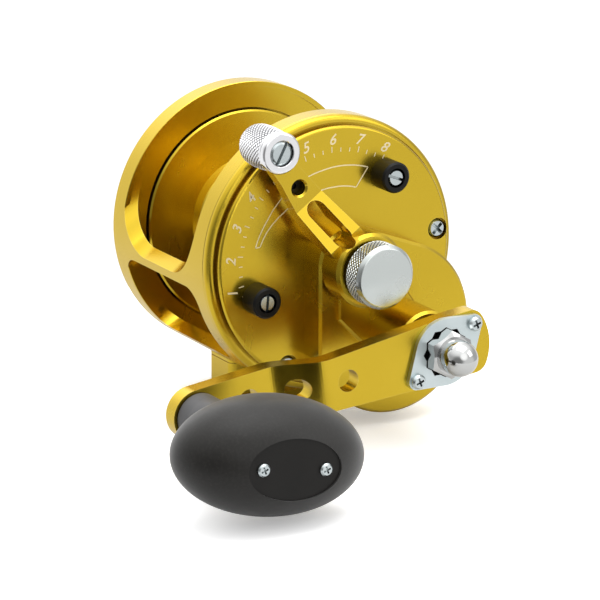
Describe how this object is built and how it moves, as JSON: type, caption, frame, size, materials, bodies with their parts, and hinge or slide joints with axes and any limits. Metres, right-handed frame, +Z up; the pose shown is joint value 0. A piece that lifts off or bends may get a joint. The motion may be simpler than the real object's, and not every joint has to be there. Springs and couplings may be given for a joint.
{
  "type": "trolling reel",
  "caption": "Lever drag conventional fishing reel with a one-piece open frame, a free-spinning spool, a geared side plate with a drag lever and a cranked handle with an oval knob.",
  "frame": {"origin": "centre of the foot's flat underside, where it rests on the rod's reel seat", "axes": "+Z up out of the reel seat, +Y towards the rod tip, +X along the spool axis towards the handle side"},
  "size_m": [0.1392, 0.1202, 0.0866],
  "materials": {
    "frame_gold": "satin gold anodised",
    "side_plate_gold": "satin gold anodised",
    "arm_gold": "satin gold anodised",
    "lever_gold": "satin gold anodised",
    "spool_gold": "satin gold anodised",
    "foot_gold": "satin gold anodised",
    "cap_gold": "satin gold anodised",
    "bridge_aluminium": "machined",
    "inner_steel": "ground",
    "bearing_steel": "polished",
    "brass_parts": "machined",
    "drag_fibre": "matt",
    "zinc_screw": "zinc plated",
    "black_screw": "blackened",
    "lock_plate_zinc": "zinc plated",
    "nut_chrome": "polished",
    "lever_knob_chrome": "knurled chrome",
    "preset_chrome": "knurled chrome, satin face",
    "bumper_rubber": "matt",
    "grip_rubber": "matt",
    "neck_plastic": "satin",
    "cover_plastic": "satin"
  },
  "bodies": {
    "housing": {"frame": "frame_gold", "reel_foot": "foot_gold", "foot_screws": "zinc_screw", "side_plate": "side_plate_gold", "side_plate_screws": "zinc_screw", "bridge_plate": "bridge_aluminium", "bridge_screws": "zinc_screw", "dog_posts": "inner_steel", "rubber_bumpers": "bumper_rubber", "bumper_screws": "zinc_screw", "left_bearing_cap": "cap_gold", "shaft_bush": "brass_parts", "pinion_bearings": "bearing_steel", "handle_bearings": "bearing_steel", "bearing_retainer": "bearing_steel"},
    "handle": {"handle_shaft": "inner_steel", "drive_gear": "brass_parts", "ratchet_wheel": "inner_steel", "handle_arm": "arm_gold", "lock_plate": "lock_plate_zinc", "lock_plate_screws": "zinc_screw", "nut_washer": "black_screw", "handle_nut": "nut_chrome", "knob_spindle": "inner_steel", "spindle_clip": "inner_steel"},
    "grip": {"knob_grip": "grip_rubber", "knob_neck": "neck_plastic", "knob_cover": "cover_plastic", "knob_cover_screws": "zinc_screw", "knob_bearings": "bearing_steel"},
    "pinion": {"pinion_gear": "inner_steel", "drag_plate": "inner_steel"},
    "shaft": {"main_shaft": "inner_steel", "drag_springs": "inner_steel"},
    "spool_body": {"spool": "spool_gold", "spool_bearings": "bearing_steel", "drag_washer": "drag_fibre", "clicker_wheel": "brass_parts"},
    "lever": {"drag_lever": "lever_gold", "lever_cam": "inner_steel", "lever_set_screw": "black_screw", "lever_knob": "lever_knob_chrome", "lever_knob_screw": "zinc_screw"},
    "preset": {"preset_knob": "preset_chrome"},
    "clicker": {"clicker_button": "cap_gold", "clicker_pawl": "inner_steel"},
    "front_dog": {"dog_front": "inner_steel"},
    "rear_dog": {"dog_rear": "inner_steel"}
  },
  "joints": [
    {"name": "handle_turn", "type": "hinge", "parent": "housing", "child": "handle", "pos_m": [0.06, 0.0133, 0.02702], "axis": [1, 0, 0], "continuous": true},
    {"name": "grip_spin", "type": "hinge", "parent": "handle", "child": "grip", "pos_m": [0.09, -0.05597, 0.01766], "axis": [1, 0, 0], "continuous": true},
    {"name": "pinion_spin", "type": "hinge", "parent": "housing", "child": "pinion", "pos_m": [0.03, 0, 0.047], "axis": [1, 0, 0], "continuous": true},
    {"name": "lever_swing", "type": "hinge", "parent": "housing", "child": "lever", "pos_m": [0.045, 0, 0.047], "axis": [1, 0, 0], "range_deg": [-51.9, 53.5]},
    {"name": "shaft_slide", "type": "slide", "parent": "housing", "child": "shaft", "axis": [1, 0, 0], "range_m": [-0.0003, 0.0003]},
    {"name": "spool_spin", "type": "hinge", "parent": "shaft", "child": "spool_body", "pos_m": [0, 0, 0.047], "axis": [1, 0, 0], "continuous": true},
    {"name": "preset_turn", "type": "hinge", "parent": "shaft", "child": "preset", "pos_m": [0.054, 0, 0.047], "axis": [1, 0, 0], "range_deg": [-150, 150]},
    {"name": "clicker_slide", "type": "slide", "parent": "housing", "child": "clicker", "axis": [0, 0.9063, 0.4226], "range_m": [0, 0.002]},
    {"name": "front_dog_rock", "type": "hinge", "parent": "housing", "child": "front_dog", "pos_m": [0.0297, 0.0186, 0.04159], "axis": [1, 0, 0], "range_deg": [-10, 12]},
    {"name": "rear_dog_rock", "type": "hinge", "parent": "housing", "child": "rear_dog", "pos_m": [0.0297, 0.0186, 0.01246], "axis": [1, 0, 0], "range_deg": [-10, 12]}
  ],
  "couplings": [
    {"joint": "pinion_spin", "follows": "handle_turn", "ratio": -4},
    {"joint": "spool_spin", "follows": "handle_turn", "ratio": -4},
    {"joint": "shaft_slide", "follows": "lever_swing", "m_per_rad": -0.00032}
  ]
}
